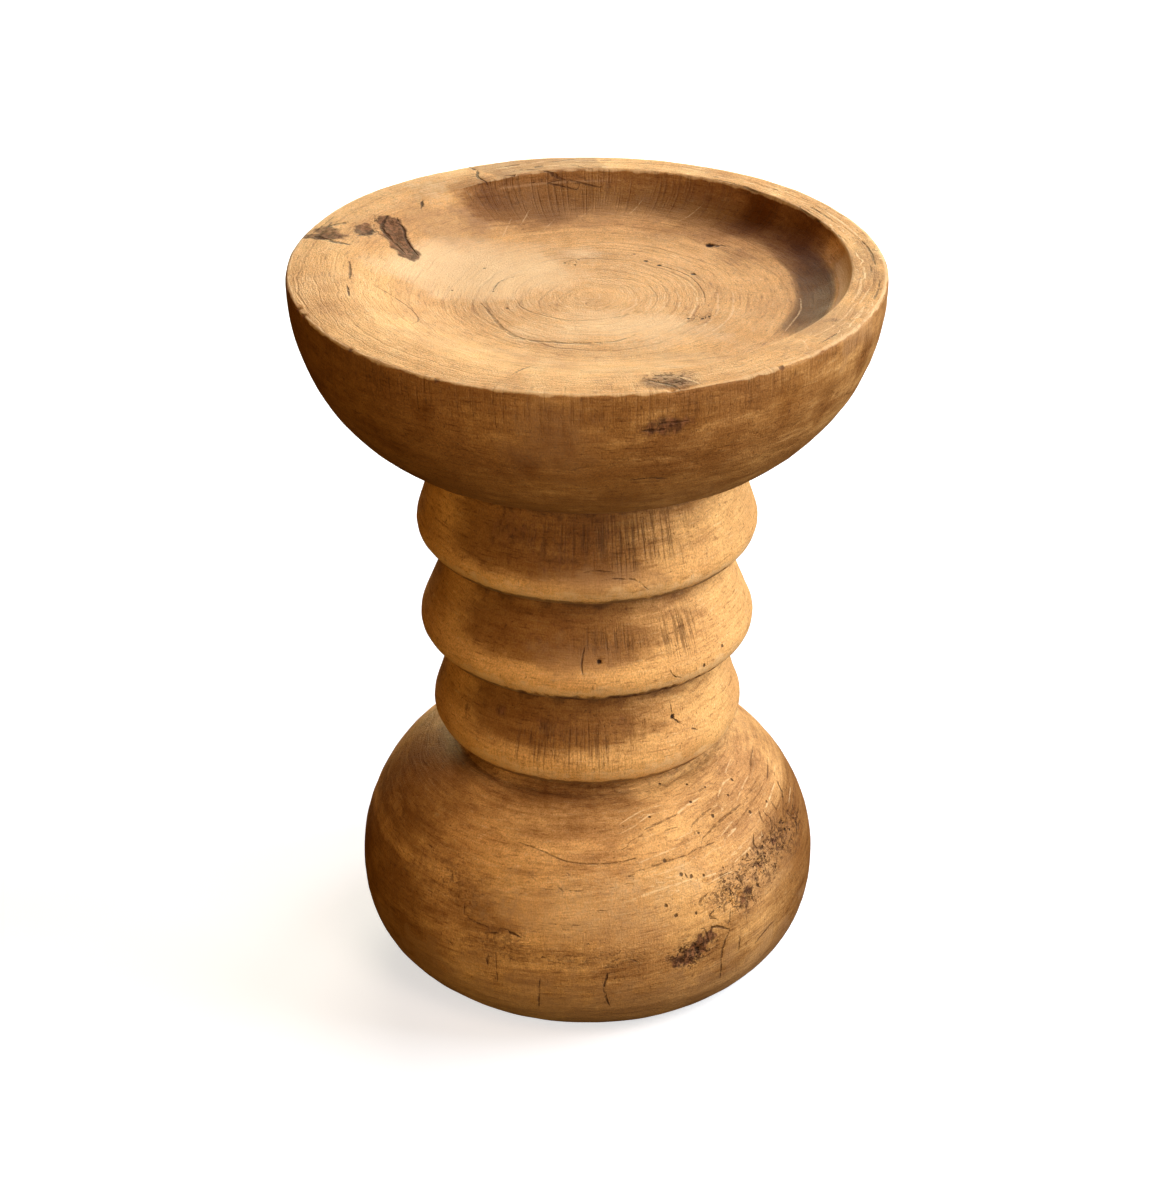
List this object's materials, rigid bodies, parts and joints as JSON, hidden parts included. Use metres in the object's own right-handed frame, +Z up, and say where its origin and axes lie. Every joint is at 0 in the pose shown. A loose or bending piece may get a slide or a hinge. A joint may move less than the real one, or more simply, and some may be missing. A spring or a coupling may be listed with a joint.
{
  "type": "pedestal side table",
  "caption": "Turned wooden pedestal side table: bowl-shaped top with a shallow off-centre dish, ringed neck and bulbous base, clamped by a central threaded rod.",
  "frame": {"origin": "centre of the foot, on the surface the table stands on", "axes": "+Z up along the turning axis; the dish is offset towards +X and +Y; -Y is the front"},
  "size_m": [0.3549, 0.355, 0.46],
  "materials": {
    "top_wood": "worn wax over hand-turned solid wood",
    "neck_wood": "worn wax over hand-turned solid wood",
    "base_wood": "worn wax over hand-turned solid wood",
    "dowel_wood": "raw",
    "zinc_plated_steel": "zinc plated",
    "felt": "dense felt"
  },
  "bodies": {
    "root": {"dished_top": "top_wood", "upper_neck_ring": "neck_wood", "middle_neck_ring": "neck_wood", "lower_neck_ring": "neck_wood", "pedestal_base": "base_wood", "locating_dowels": "dowel_wood", "tie_rod": "zinc_plated_steel", "top_insert": "zinc_plated_steel", "clamp_washer": "zinc_plated_steel", "clamp_nut": "zinc_plated_steel", "felt_pads": "felt"}
  },
  "joints": []
}
